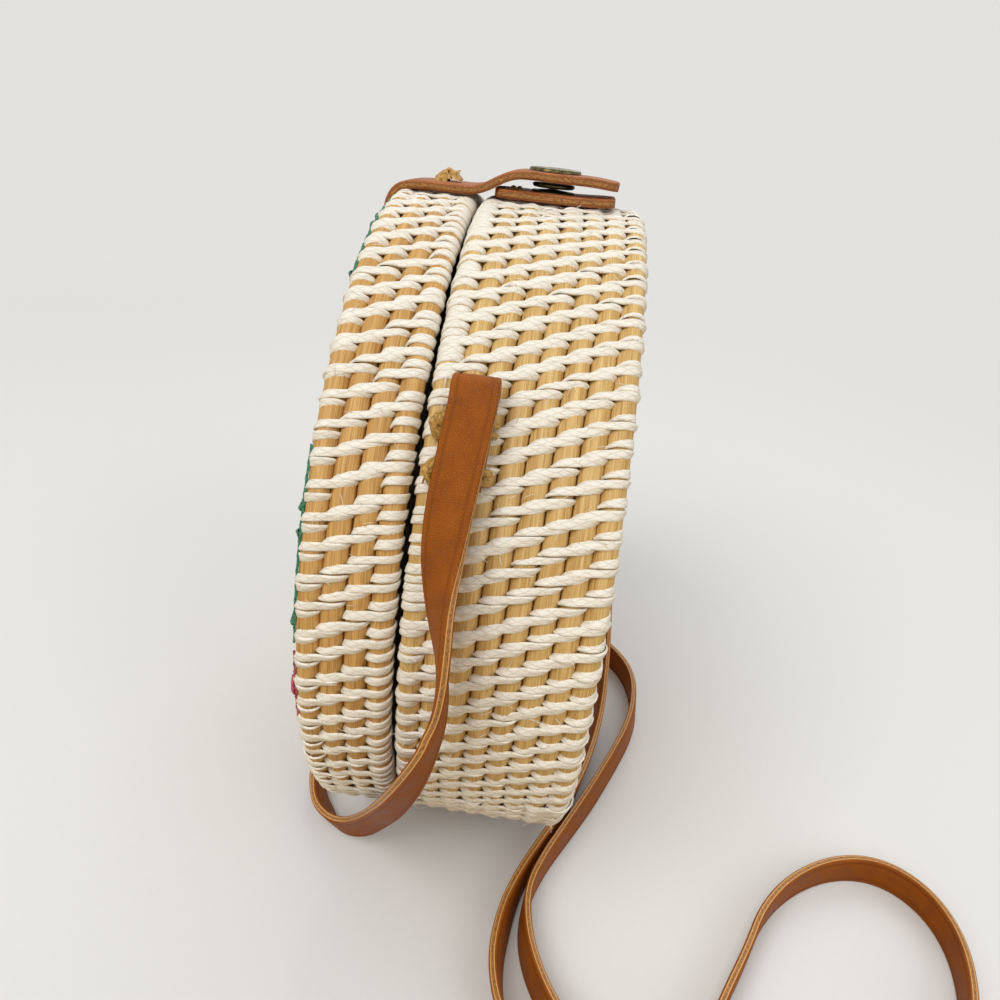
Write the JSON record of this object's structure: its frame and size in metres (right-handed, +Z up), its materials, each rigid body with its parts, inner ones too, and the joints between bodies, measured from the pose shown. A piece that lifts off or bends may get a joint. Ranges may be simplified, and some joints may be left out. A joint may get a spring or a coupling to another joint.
{
  "type": "circle bag",
  "caption": "Round rattan bag with white binding, a hinged lid, a leather snap closure and a tan leather shoulder strap, tied on with cane",
  "frame": {"origin": "on the floor under the middle of the bag without its free strap", "axes": "+Z up; +Y along the bag's axis from the lid to the body's back; +X to the side where the strap's near end is tied"},
  "size_m": [0.2515, 0.2153, 0.2094],
  "materials": {
    "woven_rattan": "matte",
    "cane": "matte",
    "tan_leather": "satin",
    "antique_brass": "satin",
    "lining_cotton": "matte",
    "green_thread": "matte",
    "red_thread": "matte"
  },
  "bodies": {
    "body": {"body_wall_coil": "woven_rattan", "body_face_coil": "woven_rattan", "body_lining": "lining_cotton", "closure_tab": "tan_leather", "closure_tab_tie": "cane", "snap_stud": "antique_brass", "hinge_pin_near": "cane", "hinge_pin_far": "cane", "hinge_body_loop_near": "cane", "hinge_body_loop_far": "cane", "strap_near_end": "tan_leather", "strap_far_end": "tan_leather", "strap_near_tie_upper": "cane", "strap_near_tie_lower": "cane", "strap_far_tie_upper": "cane", "strap_far_tie_lower": "cane", "strap_near_drop": "tan_leather", "strap_back_run": "tan_leather", "strap_loop": "tan_leather", "strap_far_drop": "tan_leather"},
    "lid": {"lid_wall_coil": "woven_rattan", "lid_face_coil": "woven_rattan", "lid_lining": "lining_cotton", "closure_base": "tan_leather", "closure_tie": "cane", "closure_front_tie": "cane", "hinge_lid_loop_near": "cane", "hinge_lid_loop_far": "cane", "embroidery_leaves": "green_thread", "embroidery_flowers": "red_thread", "strap_front_run": "tan_leather"},
    "closure_flap": {"closure_flap": "tan_leather", "snap_cap": "antique_brass", "snap_socket": "antique_brass"}
  },
  "joints": [
    {"name": "lid_hinge", "type": "hinge", "parent": "body", "child": "lid", "pos_m": [0, -0.00997, 0.002], "axis": [1, 0, 0], "range_deg": [0, 100]},
    {"name": "closure_lift", "type": "hinge", "parent": "lid", "child": "closure_flap", "pos_m": [0, -0.01498, 0.20135], "axis": [1, 0, 0], "range_deg": [0, 85]}
  ]
}
